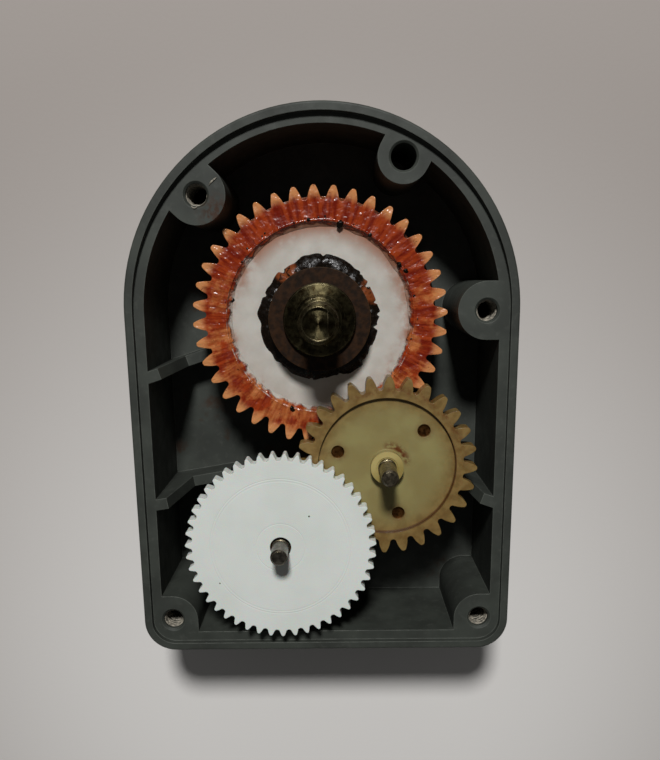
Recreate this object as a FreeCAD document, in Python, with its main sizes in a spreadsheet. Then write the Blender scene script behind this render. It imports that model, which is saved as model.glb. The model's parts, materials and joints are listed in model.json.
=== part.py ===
import FreeCAD, Part
import math
import os
import Sketcher

# Gear case of a garage door opener with its cover off: a D-shaped case that lies open side up,
# and the three-stage spur gear train that runs in it. Millimetres, +Z up, out of the open side.
# The origin is the centre of the case's outline, on its flat underside.

SIZES = {
    # case shell
    "case_width": 126.0,
    "case_length": 178.5,
    "case_height": 46.0,
    "corner_radius": 10.5,
    "wall": 6.0,
    "floor": 4.0,
    "lip_width": 2.7,
    "lip_height": 2.2,
    "rim_round": 0.7,
    "base_round": 2.0,
    # cover screw bosses: the two at the round end are placed by their own centres, the others by how
    # far they stand in from the walls
    "screw_hole_radius": 3.4,
    "plain_hole_radius": 4.0,
    "screw_mouth_chamfer": 0.7,
    "upper_left_x": -38.6,
    "upper_left_y": 62.9,
    "upper_left_radius": 9.2,
    "upper_right_x": 25.8,
    "upper_right_y": 73.3,
    "upper_right_radius": 8.1,
    "side_inset": 4.1,
    "side_y": 26.6,
    "side_radius": 9.3,
    "corner_boss_inset_x": 9.6,
    "corner_boss_inset_y": 10.55,
    "corner_boss_radius": 8.7,
    # stiffening gussets: a short flat top at the wall, a slope, then a low rib on the floor.
    # Each points from its place on the wall at the shaft it braces.
    "gusset_thickness": 3.8,
    "gusset_top": 4.0,
    "gusset_run": 8.5,
    "gusset_low_height": 12.0,
    "upper_gusset_y": 6.2,
    "lower_gusset_y": -37.0,
    "low_rib_reach": 14.0,
    # gear teeth
    "tooth_module": 2.0,
    "input_module_share": 0.65,
    "pressure_angle": 22.5,
    "tooth_thinning": 0.12,
    "tooth_crown": 0.35,
    "output_teeth": 40.0,
    "intermediate_pinion_teeth": 13.0,
    "intermediate_teeth": 28.0,
    "input_pinion_teeth": 16.0,
    "input_teeth": 47.0,
    "output_phase": 2.25,
    "intermediate_phase": 11.4,
    "input_phase": 2.1,
    # where the three shafts stand
    "output_x": -0.7,
    "output_y": 24.3,
    "output_to_intermediate_angle": -65.8,
    "intermediate_to_input_angle": 215.9,
    # output gear and its shaft
    "output_face": 13.0,
    "output_flange": 2.0,
    "output_flange_overhang": 2.0,
    "output_web_radius": 30.8,
    "output_web_recess": 1.5,
    "output_hub_radius": 15.0,
    "output_hub_rise": 6.0,
    "shaft_radius": 8.0,
    "shaft_end_radius": 6.0,
    "shaft_end_length": 20.8,
    "shaft_chamfer": 1.0,
    "socket_radius": 4.8,
    "socket_flat": 2.8,
    "socket_depth": 1.2,
    "sleeve_wall": 4.0,
    "sleeve_stand": 0.2,
    "key_width": 5.0,
    "key_length": 16.0,
    "key_stand": 1.5,
    "thrust_disc_radius": 16.4,
    "thrust_disc_thickness": 2.4,
    "collar_radius": 11.6,
    "collar_thickness": 2.3,
    "collar_chamfer": 0.4,
    "collar_stand": 1.5,
    "ring_thickness": 1.2,
    "ring_depth": 1.0,
    "ring_radius": 11.5,
    "ring_gap": 7.0,
    "ring_room": 1.5,
    # bearing boss and bush of the output shaft
    "bearing_boss_radius": 15.5,
    "bearing_boss_height": 14.0,
    "bearing_floor": 3.0,
    "bush_radius": 11.0,
    "bush_flange_radius": 14.0,
    "bush_flange": 1.5,
    "running_clearance": 0.05,
    "end_float": 0.3,
    "lower_washer": 1.0,
    # fixed axles of the other two stages
    "axle_radius": 3.0,
    "axle_top": 62.0,
    "axle_chamfer": 0.6,
    "axle_relief": 0.25,
    "axle_end_stand": 1.0,
    "axle_boss_radius": 6.8,
    "axle_boss_height": 16.0,
    "axle_seat": 6.0,
    "axle_bush_wall": 1.95,
    "axle_bush_depth": 1.0,
    "mouth_clearance": 0.55,
    # intermediate gear
    "intermediate_face": 6.5,
    "intermediate_gap": 0.5,
    "intermediate_web_radius": 23.0,
    "intermediate_web_recess": 1.6,
    "intermediate_hub_radius": 5.5,
    "intermediate_hub_rise": 2.0,
    "pinion_flange": 2.0,
    "pinion_flange_radius": 19.8,
    "drive_pin_radius": 2.2,
    "drive_pin_circle": 17.0,
    "drive_pin_angle": 43.6,
    "dimple_depth": 1.2,
    # input gear
    "input_face": 5.3,
    "input_gap": 1.0,
    "spigot_width": 12.0,
    "spigot_height": 2.4,
    # how far a cutting tool runs on past the face that it opens
    "overcut": 1.0,
}

doc = FreeCAD.newDocument("opener_gear_case")
sheet = doc.addObject("Spreadsheet::Sheet", "sizes")
for row, (alias, number) in enumerate(SIZES.items(), start=1):
    sheet.set(f"A{row}", alias)
    sheet.set(f"B{row}", str(number))
    sheet.setAlias(f"B{row}", alias)

# Sizes that follow from the driving ones, each a formula in the same sheet.
DERIVED = {
    "arc_y": "case_length / 2 - case_width / 2",
    "ledge_z": "case_height - lip_height",
    "inner_half": "case_width / 2 - wall",
    "side_x": "inner_half - side_inset",
    "corner_boss_x": "case_width / 2 - corner_boss_inset_x",
    "corner_boss_y": "corner_boss_inset_y - case_length / 2",
    "input_module": "tooth_module * input_module_share",
    "mesh_one": "tooth_module * (output_teeth + intermediate_pinion_teeth) / 2",
    "mesh_two": "tooth_module * (intermediate_teeth + input_pinion_teeth) / 2",
    "intermediate_x": "output_x + mesh_one * cos(output_to_intermediate_angle * 1deg)",
    "intermediate_y": "output_y + mesh_one * sin(output_to_intermediate_angle * 1deg)",
    "input_x": "intermediate_x + mesh_two * cos(intermediate_to_input_angle * 1deg)",
    "input_y": "intermediate_y + mesh_two * sin(intermediate_to_input_angle * 1deg)",
    # output stage, from the bearing boss up
    "sleeve_radius": "shaft_radius + sleeve_wall",
    "bush_top": "floor + bearing_boss_height + bush_flange",
    "lower_washer_top": "bush_top + end_float + lower_washer",
    "output_flange_z": "lower_washer_top + end_float",
    "output_teeth_z": "output_flange_z + output_flange",
    "output_top": "output_teeth_z + output_face",
    "hub_bottom": "output_flange_z + ring_thickness + sleeve_stand",
    "hub_top": "output_top + output_hub_rise",
    "disc_top": "hub_top + thrust_disc_thickness",
    "collar_top": "disc_top + collar_thickness",
    "shaft_step_z": "collar_top + collar_stand",
    "shaft_top": "shaft_step_z + shaft_end_length",
    # intermediate stage, above the output gear
    "pinion_bottom": "output_teeth_z + intermediate_gap",
    "pinion_flange_z": "output_top + intermediate_gap",
    "intermediate_z": "pinion_flange_z + pinion_flange",
    "intermediate_top": "intermediate_z + intermediate_face",
    "intermediate_web_z": "intermediate_top - intermediate_web_recess",
    "intermediate_hub_top": "intermediate_top + intermediate_hub_rise",
    # input stage, beside and above the intermediate gear
    "input_z": "intermediate_top + input_gap",
    "input_top": "input_z + input_face",
    "input_pinion_z": "intermediate_z - intermediate_gap",
    "axle_boss_top": "floor + axle_boss_height",
    "bush_bore": "axle_radius + running_clearance",
    "axle_bush_radius": "bush_bore + axle_bush_wall",
    "mouth_radius": "axle_radius + mouth_clearance",
}
for row, (alias, formula) in enumerate(DERIVED.items(), start=len(SIZES) + 1):
    sheet.set(f"A{row}", alias)
    sheet.set(f"B{row}", "=" + formula)
    sheet.setAlias(f"B{row}", alias)
doc.recompute()


def size(alias):
    """A size's value, read from the sheet."""
    return float(sheet.get(alias))


def cell(formula):
    """A formula of the sheet's aliases, written as an expression for another object."""
    words = formula.replace("(", "( ").replace(")", " )").split()
    return " ".join("sizes." + word if word in SIZES or word in DERIVED else word for word in words)


def bind(obj, **formulas):
    """Ties an object's properties to formulas of the sheet's aliases."""
    for name, formula in formulas.items():
        obj.setExpression(name.replace("__", "."), cell(formula))


def place(obj, x="0", y="0", z="0"):
    """Ties an object's place to formulas of the sheet's aliases."""
    bind(obj, Placement__Base__x=x, Placement__Base__y=y, Placement__Base__z=z)
    return obj


def cylinder(name, radius, height, x="0", y="0", z="0"):
    obj = doc.addObject("Part::Cylinder", name)
    bind(obj, Radius=radius, Height=height)
    return place(obj, x, y, z)


def box(name, length, width, height, x="0", y="0", z="0"):
    """A box centred on x and y that stands on z."""
    obj = doc.addObject("Part::Box", name)
    bind(obj, Length=length, Width=width, Height=height)
    return place(obj, f"{x} - ( {length} ) / 2", f"{y} - ( {width} ) / 2", z)


def fuse(name, *pieces):
    obj = doc.addObject("Part::MultiFuse", name)
    obj.Shapes = list(pieces)
    obj.Refine = True
    return obj


def cut(name, base, *tools):
    obj = doc.addObject("Part::Cut", name)
    obj.Base = base
    obj.Tool = tools[0] if len(tools) == 1 else fuse(name + "_tools", *tools)
    obj.Refine = True
    return obj


def chamfer_circles(name, base, spots, amount):
    """Chamfers each full circle of a base that stands at one of the (radius, z) spots."""
    doc.recompute()
    edges = []
    for number, edge in enumerate(base.Shape.Edges, start=1):
        if not isinstance(edge.Curve, Part.Circle):
            continue
        for radius, z in spots:
            if abs(edge.Curve.Radius - radius) < 1e-3 and abs(edge.Curve.Center.z - z) < 1e-3:
                edges.append((number, amount, amount))
    obj = doc.addObject("Part::Chamfer", name)
    obj.Base = base
    obj.Edges = edges
    return obj


NODES = []


def node(obj, label):
    """Marks an object as a finished sub-part."""
    obj.Label = label
    NODES.append(obj)
    return obj


# ---------------------------------------------------------------- the case

class CaseBuilder:
    """The case is one moulding: a PartDesign body of pads and pockets on level sketches."""

    def __init__(self):
        self.body = doc.addObject("PartDesign::Body", "gear_case_body")
        planes = {feature.Role: feature for feature in self.body.Origin.OriginFeatures}
        self.level_plane = planes["XY_Plane"]
        self.upright_plane = planes["XZ_Plane"]

    def sketch(self, name, plane, height=None):
        sketch = self.body.newObject("Sketcher::SketchObject", name)
        sketch.AttachmentSupport = [(plane, "")]
        sketch.MapMode = "FlatFace"
        if height:
            bind(sketch, AttachmentOffset__Base__z=height)
        return sketch

    def pad(self, sketch, length, midplane=False):
        feature = self.body.newObject("PartDesign::Pad", sketch.Name + "_pad")
        feature.Profile = sketch
        feature.Midplane = midplane
        bind(feature, Length=length)
        sketch.Visibility = False
        doc.recompute()
        return feature

    def pocket(self, sketch, depth):
        before = self.body.Shape.Volume
        feature = self.body.newObject("PartDesign::Pocket", sketch.Name + "_pocket")
        feature.Profile = sketch
        bind(feature, Length=depth)
        doc.recompute()
        assert self.body.Shape.Volume < before, sketch.Name + " cut nothing"
        return feature

    def outline(self, sketch, inset):
        """The D outline, set in from the outside: round top, straight sides, rounded lower corners."""
        radius = size("case_width") / 2 - size_of(inset)
        corner = size("corner_radius") - size_of(inset)
        top = size("arc_y")
        bottom = size_of(inset) - size("case_length") / 2
        turn = math.pi / 2
        up = FreeCAD.Vector(0, 0, 1)

        def arc(x, y, r, start, end):
            return Part.ArcOfCircle(Part.Circle(FreeCAD.Vector(x, y, 0), up, r), start, end)

        def line(x1, y1, x2, y2):
            return Part.LineSegment(FreeCAD.Vector(x1, y1, 0), FreeCAD.Vector(x2, y2, 0))

        sketch.addGeometry([
            arc(0, top, radius, 0, 2 * turn),
            line(-radius, top, -radius, bottom + corner),
            arc(corner - radius, bottom + corner, corner, 2 * turn, 3 * turn),
            line(corner - radius, bottom, radius - corner, bottom),
            arc(radius - corner, bottom + corner, corner, 3 * turn, 4 * turn),
            line(radius, bottom + corner, radius, top),
        ], False)
        joins = [(0, 2, 1, 1), (1, 2, 2, 1), (2, 2, 3, 1), (3, 2, 4, 1), (4, 2, 5, 1), (5, 2, 0, 1)]
        for join in joins:
            sketch.addConstraint(Sketcher.Constraint("Tangent", *join))
        sketch.addConstraint(Sketcher.Constraint("Vertical", 1))
        sketch.addConstraint(Sketcher.Constraint("Vertical", 5))
        sketch.addConstraint(Sketcher.Constraint("Horizontal", 3))
        sketch.addConstraint(Sketcher.Constraint("PointOnObject", 0, 3, -2))
        sketch.addConstraint(Sketcher.Constraint("Equal", 2, 4))
        sized = [
            ("Radius", (0,), radius, f"case_width / 2 - {inset}"),
            ("Radius", (2,), corner, f"corner_radius - {inset}"),
            ("DistanceY", (-1, 1, 0, 3), top, "arc_y"),
            ("DistanceY", (3, 1, -1, 1), -bottom, f"case_length / 2 - {inset}"),
        ]
        add_sized(sketch, sized)
        return sketch

    def circles(self, sketch, spots):
        """Circles, each given by the formulas of its centre and radius."""
        for x, y, radius in spots:
            add_circle(sketch, x, y, radius)
        return sketch


def size_of(formula):
    """The value of a formula that is one alias or zero."""
    return 0.0 if formula == "0" else size(formula)


def add_sized(sketch, rows):
    """Adds constraints of a size, each tied to its formula."""
    for kind, where, value, formula in rows:
        number = sketch.addConstraint(Sketcher.Constraint(kind, *where, value))
        sketch.setExpression(f"Constraints[{number}]", cell(formula))


def add_circle(sketch, x, y, radius, side=1):
    """A circle centred on two aliases, x and y, with a radius of one alias. A side of -1 mirrors it."""
    centre = FreeCAD.Vector(side * size(x), size(y), 0)
    circle = Part.Circle(centre, FreeCAD.Vector(0, 0, 1), size(radius))
    index = sketch.addGeometry(circle, False)
    add_sized(sketch, [
        ("Radius", (index,), size(radius), radius),
        ("DistanceX", (-1, 1, index, 3), centre.x, f"{side} * {x}"),
        ("DistanceY", (-1, 1, index, 3), centre.y, y),
    ])


def boss_outline(x, y, radius, towards, reach):
    """A round boss whose two flat flanks run on into the wall in one direction."""
    along = FreeCAD.Vector(math.cos(towards), math.sin(towards), 0)
    across = FreeCAD.Vector(-along.y, along.x, 0)
    centre = FreeCAD.Vector(x, y, 0)
    left = centre + across * radius
    right = centre - across * radius
    return [
        Part.Arc(left, centre - along * radius, right),
        Part.LineSegment(right, right + along * reach),
        Part.LineSegment(right + along * reach, left + along * reach),
        Part.LineSegment(left + along * reach, left),
    ]


def corner_outline(x, y, radius, side):
    """A boss that fills a lower corner: one rounded corner, and flat flanks into both walls.
    It runs anticlockwise on either side, as a sketch's arcs do."""
    bite = 0.75 * size("wall")
    wall_x = side * (size("case_width") / 2 - bite)
    wall_y = bite - size("case_length") / 2
    inner = x - side * radius
    diagonal = radius * math.sqrt(0.5)
    flank_end = FreeCAD.Vector(inner, y, 0)
    top_end = FreeCAD.Vector(x, y + radius, 0)
    corners = [
        FreeCAD.Vector(inner, wall_y, 0),
        flank_end,
        top_end,
        FreeCAD.Vector(wall_x, y + radius, 0),
        FreeCAD.Vector(wall_x, wall_y, 0),
    ]
    if side > 0:
        corners.reverse()
    curves = []
    for start, end in zip(corners, corners[1:] + corners[:1]):
        if flank_end in (start, end) and top_end in (start, end):
            middle = FreeCAD.Vector(x - side * diagonal, y + diagonal, 0)
            curves.append(Part.Arc(start, middle, end))
        else:
            curves.append(Part.LineSegment(start, end))
    return curves


def closed_loop(sketch, curves):
    """Adds curves that run end to end to a sketch, and joins their ends."""
    first = sketch.GeometryCount
    sketch.addGeometry(curves, False)
    count = len(curves)
    for step in range(count):
        here = first + step
        following = first + (step + 1) % count
        sketch.addConstraint(Sketcher.Constraint("Coincident", here, 2, following, 1))
    sketch.addConstraint([Sketcher.Constraint("Block", first + step) for step in range(count)])


def round_wall_direction(x, y):
    """The direction from a point to the nearest place on the round end of the wall."""
    return math.atan2(y - size("arc_y"), x)


def wall_reach(x, y, radius):
    """How far a boss's flanks run so that their ends finish half way through the round wall."""
    middle = size("case_width") / 2 - size("wall") / 4
    return math.sqrt(middle ** 2 - radius ** 2) - math.hypot(x, y - size("arc_y"))


def gusset_outline():
    """Seen from the side, from the wall inwards: flat top, slope, low rib, down into the floor."""
    in_wall = -size("wall") / 2
    floor_z = size("floor") / 2
    low_z = size("floor") + size("gusset_low_height")
    end = size("gusset_run") + size("low_rib_reach")
    corners = [
        (in_wall, floor_z),
        (in_wall, size("ledge_z")),
        (size("gusset_top"), size("ledge_z")),
        (size("gusset_run"), low_z),
        (end, low_z),
        (end, floor_z),
    ]
    points = [FreeCAD.Vector(x, z, 0) for x, z in corners]
    return [Part.LineSegment(a, b) for a, b in zip(points, points[1:] + points[:1])]


def add_gusset(case, name, side, y, shaft):
    """One gusset on a side wall, on an upright plane that runs from the wall towards a shaft."""
    wall_x = side * size("inner_half")
    towards = math.atan2(size(shaft + "_y") - size(y), size(shaft + "_x") - wall_x)
    sketch = case.sketch(name, case.upright_plane)
    turn = FreeCAD.Rotation(FreeCAD.Vector(0, 1, 0), math.degrees(towards))
    sketch.AttachmentOffset = FreeCAD.Placement(FreeCAD.Vector(wall_x, 0, -size(y)), turn)
    bind(sketch, AttachmentOffset__Base__x=f"{side} * inner_half", AttachmentOffset__Base__z=f"- {y}")
    closed_loop(sketch, gusset_outline())
    case.pad(sketch, "gusset_thickness", midplane=True)


def build_case():
    case = CaseBuilder()
    outer = case.outline(case.sketch("case_outline", case.level_plane), "0")
    case.pad(outer, "case_height")
    seat = case.outline(case.sketch("cover_seat", case.level_plane, "case_height"), "lip_width")
    case.pocket(seat, "lip_height")
    cavity = case.outline(case.sketch("cavity", case.level_plane, "case_height"), "wall")
    case.pocket(cavity, "case_height - floor")

    bosses = case.sketch("screw_bosses", case.level_plane, "floor")
    for spot in ("upper_left", "upper_right", "side"):
        x, y, radius = size(spot + "_x"), size(spot + "_y"), size(spot + "_radius")
        towards = 0.0 if spot == "side" else round_wall_direction(x, y)
        closed_loop(bosses, boss_outline(x, y, radius, towards, wall_reach(x, y, radius)))
    for side in (-1, 1):
        x, y = side * size("corner_boss_x"), size("corner_boss_y")
        closed_loop(bosses, corner_outline(x, y, size("corner_boss_radius"), side))
    case.pad(bosses, "ledge_z - floor")

    add_gusset(case, "upper_left_gusset", -1, "upper_gusset_y", "output")
    add_gusset(case, "lower_left_gusset", -1, "lower_gusset_y", "intermediate")
    add_gusset(case, "lower_right_gusset", 1, "lower_gusset_y", "intermediate")

    bearing = case.sketch("bearing_boss", case.level_plane, "floor")
    case.circles(bearing, [("output_x", "output_y", "bearing_boss_radius")])
    case.pad(bearing, "bearing_boss_height")
    axle_bosses = case.sketch("axle_bosses", case.level_plane, "floor")
    case.circles(axle_bosses, [
        ("intermediate_x", "intermediate_y", "axle_boss_radius"),
        ("input_x", "input_y", "axle_boss_radius"),
    ])
    case.pad(axle_bosses, "axle_boss_height")

    bush_seat = case.sketch("bush_seat", case.level_plane, "floor + bearing_boss_height")
    case.circles(bush_seat, [("output_x", "output_y", "bush_radius")])
    case.pocket(bush_seat, "floor + bearing_boss_height - bearing_floor")
    axle_seats = case.sketch("axle_seats", case.level_plane, "axle_boss_top")
    case.circles(axle_seats, [
        ("intermediate_x", "intermediate_y", "axle_radius"),
        ("input_x", "input_y", "axle_radius"),
    ])
    case.pocket(axle_seats, "axle_boss_top - axle_seat")

    holes = case.sketch("screw_holes", case.level_plane, "ledge_z")
    add_circle(holes, "upper_left_x", "upper_left_y", "screw_hole_radius")
    add_circle(holes, "upper_right_x", "upper_right_y", "plain_hole_radius")
    add_circle(holes, "side_x", "side_y", "screw_hole_radius")
    add_circle(holes, "corner_boss_x", "corner_boss_y", "screw_hole_radius")
    add_circle(holes, "corner_boss_x", "corner_boss_y", "screw_hole_radius", side=-1)
    case.pocket(holes, "ledge_z + overcut")
    dress_case(case)
    return node(case.body, "gear_case")


def dress_case(case):
    """Chamfered screw holes, a softened rim and a rounded lower edge."""
    shape = case.body.Shape
    mouths, rim, base = [], [], []
    hole_radii = (size("screw_hole_radius"), size("plain_hole_radius"))
    half = size("case_width") / 2
    for number, edge in enumerate(shape.Edges, start=1):
        low, high = edge.BoundBox.ZMin, edge.BoundBox.ZMax
        if high - low > 1e-3:
            continue
        name = f"Edge{number}"
        round_edge = isinstance(edge.Curve, Part.Circle)
        if abs(low - size("ledge_z")) < 1e-3 and round_edge:
            if min(abs(edge.Curve.Radius - radius) for radius in hole_radii) < 1e-3:
                mouths.append(name)
        on_outside = max(abs(edge.BoundBox.XMin), abs(edge.BoundBox.XMax)) > half - 0.01
        if abs(low) < 1e-3 and on_outside:
            base.append(name)
        if abs(low - size("case_height")) < 1e-3 and on_outside:
            rim.append(name)
    for name, kind, edges, amount in (
        ("hole_mouths", "PartDesign::Chamfer", mouths, "screw_mouth_chamfer"),
        ("soft_rim", "PartDesign::Fillet", rim[:1], "rim_round"),
        ("round_base", "PartDesign::Fillet", base[:1], "base_round"),
    ):
        base_feature = case.body.Tip
        feature = case.body.newObject(kind, name)
        feature.Base = (base_feature, edges_again(base_feature.Shape, shape, edges))
        property_name = "Size" if kind.endswith("Chamfer") else "Radius"
        bind(feature, **{property_name: amount})
        doc.recompute()


def edges_again(shape, old_shape, names):
    """The names that the same edges have on a later shape of the body."""
    found = []
    for name in names:
        middle = old_shape.getElement(name).CenterOfGravity
        length = old_shape.getElement(name).Length
        for number, edge in enumerate(shape.Edges, start=1):
            if abs(edge.Length - length) < 1e-3 and edge.CenterOfGravity.distanceToPoint(middle) < 1e-3:
                found.append(f"Edge{number}")
    return found


# ---------------------------------------------------------------- gear teeth

# Depths below the pitch circle, and where a flank meets the root arc, in modules.
FULL_DEPTH = 1.25
STUB_DEPTH = 0.8
FOOT_HEIGHT = 0.3


def involute(angle):
    return math.tan(angle) - angle


def tooth_half_angle(radius, teeth, module):
    """Half the angle that a tooth fills at a radius on or above its base circle."""
    pitch_radius = module * teeth / 2
    pressure = math.radians(size("pressure_angle"))
    at_radius = math.acos(min(pitch_radius * math.cos(pressure) / radius, 1.0))
    thickness = math.pi * module / 2 - size("tooth_thinning")
    return thickness / (2 * pitch_radius) + involute(pressure) - involute(at_radius)


def polar(radius, angle):
    return FreeCAD.Vector(radius * math.cos(angle), radius * math.sin(angle), 0)


def gear_face(teeth, module, root_depth, phase):
    """The flat outline of a spur gear. Each flank is an arc through three points of its involute,
    each tip is a low crown, and each root is one arc between the feet of two teeth."""
    pitch_radius = module * teeth / 2
    tip = pitch_radius + module
    root = pitch_radius - root_depth * module
    base = pitch_radius * math.cos(math.radians(size("pressure_angle")))
    foot = root + FOOT_HEIGHT * module
    start = max(foot, base)
    shoulder = tip - size("tooth_crown")
    flank = [start, (start + shoulder) / 2, shoulder]
    pitch_angle = 2 * math.pi / teeth
    edges = []
    for number in range(int(teeth)):
        middle = phase + number * pitch_angle
        rising = [polar(r, middle - tooth_half_angle(r, teeth, module)) for r in flank]
        falling = [polar(r, middle + tooth_half_angle(r, teeth, module)) for r in reversed(flank)]
        foot_half = tooth_half_angle(start, teeth, module)
        edges.append(Part.Arc(*rising).toShape())
        edges.append(Part.Arc(rising[-1], polar(tip, middle), falling[0]).toShape())
        edges.append(Part.Arc(*falling).toShape())
        left_foot = polar(min(foot, start), middle + foot_half)
        right_foot = polar(min(foot, start), middle + pitch_angle - foot_half)
        if start > foot:
            edges.append(Part.LineSegment(falling[-1], left_foot).toShape())
        edges.append(Part.Arc(left_foot, polar(root, middle + pitch_angle / 2), right_foot).toShape())
        if start > foot:
            following = polar(start, middle + pitch_angle - foot_half)
            edges.append(Part.LineSegment(right_foot, following).toShape())
    return Part.Face(Part.Wire(edges))


def toothed_blank(name, teeth, module, root_depth, phase, height, x, y, z):
    """A solid gear blank with its teeth, its axis on x and y and its lower face on z."""
    face = gear_face(size(teeth), size(module), root_depth, phase)
    blank = doc.addObject("Part::Feature", name)
    blank.Shape = face.extrude(FreeCAD.Vector(0, 0, height))
    return place(blank, x, y, z)


def mating_phase(phase, teeth, mate_teeth, direction):
    """The phase that puts a gap of the mate on a tooth of the first gear, along the line of centres."""
    return direction + math.pi - math.pi / mate_teeth - (teeth / mate_teeth) * (phase - direction)


# ---------------------------------------------------------------- output stage

def output_bush():
    at = ("output_x", "output_y")
    sleeve = cylinder("bush_sleeve", "bush_radius", "bush_top - bearing_floor", *at, "bearing_floor")
    flange = cylinder("bush_rim", "bush_flange_radius", "bush_flange", *at, "bush_top - bush_flange")
    bore = cylinder("bush_hole", "shaft_radius + running_clearance", "case_height", *at)
    node(cut("bush", fuse("bush_solid", sleeve, flange), bore), "output_bush")


def ring(name, outer, inner, thickness, x, y, z):
    """A plain washer."""
    disc = cylinder(name + "_disc", outer, thickness, x, y, z)
    hole = cylinder(name + "_hole", inner, thickness + " + 2 * overcut", x, y, z + " - overcut")
    return cut(name, disc, hole)


def output_shaft():
    at = ("output_x", "output_y")
    bottom = "bearing_floor + end_float"
    main = cylinder("shaft_main", "shaft_radius", f"shaft_step_z - ( {bottom} )", *at, bottom)
    end = cylinder("shaft_end", "shaft_end_radius", "shaft_end_length", *at, "shaft_step_z")
    plain = fuse("shaft_plain", main, end)
    spots = [(size("shaft_end_radius"), size("shaft_top")), (size("shaft_radius"), size("shaft_step_z"))]
    dressed = chamfer_circles("shaft_dressed", plain, spots, size("shaft_chamfer"))
    round_socket = cylinder("round_socket", "socket_radius", "socket_depth + overcut",
                            *at, "shaft_top - socket_depth")
    beyond_flat = box("beyond_flat", "shaft_radius", "shaft_radius * 2", "socket_depth + 3 * overcut",
                      "output_x + socket_flat + shaft_radius / 2", "output_y",
                      "shaft_top - socket_depth - overcut")
    socket = cut("flat_sided_socket", round_socket, beyond_flat)
    keyway = key_box("shaft_keyway")
    groove = ring("shaft_groove", "shaft_radius + overcut", "shaft_radius - ring_depth", "ring_thickness",
                  *at, "output_flange_z")
    node(cut("shaft", dressed, socket, keyway, groove), "output_shaft")


def key_box(name):
    """The space of the parallel key, half in the shaft and half in the hub sleeve."""
    return box(name, "key_width", "key_width", "key_length",
               "output_x + shaft_radius", "output_y", "hub_bottom + key_stand")


def output_gear():
    at = ("output_x", "output_y")
    phase = math.radians(size("output_phase"))
    teeth = toothed_blank("output_blank", "output_teeth", "tooth_module", FULL_DEPTH, phase,
                          size("output_face"), *at, "output_teeth_z")
    root = f"tooth_module * ( output_teeth / 2 - {FULL_DEPTH} )"
    flange = cylinder("output_shroud", root + " + output_flange_overhang", "output_flange",
                      *at, "output_flange_z")
    hub = cylinder("output_boss", "output_hub_radius", "output_hub_rise + output_web_recess",
                   *at, "output_top - output_web_recess")
    recess = ring("output_recess", "output_web_radius", "output_hub_radius", "output_web_recess",
                  *at, "output_top - output_web_recess")
    bore = cylinder("output_bore", "sleeve_radius", "case_height", *at, "hub_bottom")
    pocket = cylinder("output_pocket", "sleeve_radius + ring_room",
                      "hub_bottom - output_flange_z + overcut", *at, "output_flange_z - overcut")
    solid = cut("output_recessed", fuse("output_toothed", teeth, flange), recess)
    node(cut("output_wheel", fuse("output_body", solid, hub), bore, pocket), "output_gear")


def output_fittings():
    at = ("output_x", "output_y")
    sleeve = ring("hub_sleeve", "sleeve_radius", "shaft_radius", "hub_top - hub_bottom",
                  *at, "hub_bottom")
    node(cut("keyed_sleeve", sleeve, key_box("sleeve_keyway")), "output_hub_sleeve")
    node(key_box("key"), "output_key")
    node(ring("thrust_disc", "thrust_disc_radius", "shaft_radius", "thrust_disc_thickness",
              *at, "hub_top"), "output_thrust_disc")
    collar = ring("collar_ring", "collar_radius", "shaft_radius", "collar_thickness", *at, "disc_top")
    spots = [(size("collar_radius"), size("collar_top"))]
    node(chamfer_circles("collar", collar, spots, size("collar_chamfer")), "output_collar")
    snap = ring("snap_ring", "ring_radius", "shaft_radius - ring_depth", "ring_thickness",
                *at, "output_flange_z")
    gap = box("snap_gap", "ring_gap", "ring_gap", "ring_thickness + 2 * overcut",
              "output_x - ring_radius", "output_y", "output_flange_z - overcut")
    node(cut("open_snap_ring", snap, gap), "output_retaining_ring")
    node(ring("lower_washer", "ring_radius", "shaft_radius + running_clearance", "lower_washer",
              *at, "bush_top + end_float / 2"), "output_lower_washer")


# ---------------------------------------------------------------- fixed axles

def axle(name, x, y, gear_top):
    """A steel pin pressed in its boss, with its upper end eased to go into the cover."""
    end_z = f"( {gear_top} + axle_end_stand )"
    pin = cylinder(name + "_pin", "axle_radius", f"{end_z} - axle_seat", x, y, "axle_seat")
    end = cylinder(name + "_end", "axle_radius - axle_relief", f"axle_top - {end_z}", x, y, end_z)
    spots = [(size("axle_radius") - size("axle_relief"), size("axle_top"))]
    whole = fuse(name + "_whole", pin, end)
    node(chamfer_circles(name + "_dressed", whole, spots, size("axle_chamfer")), name)


# ---------------------------------------------------------------- intermediate stage

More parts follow.
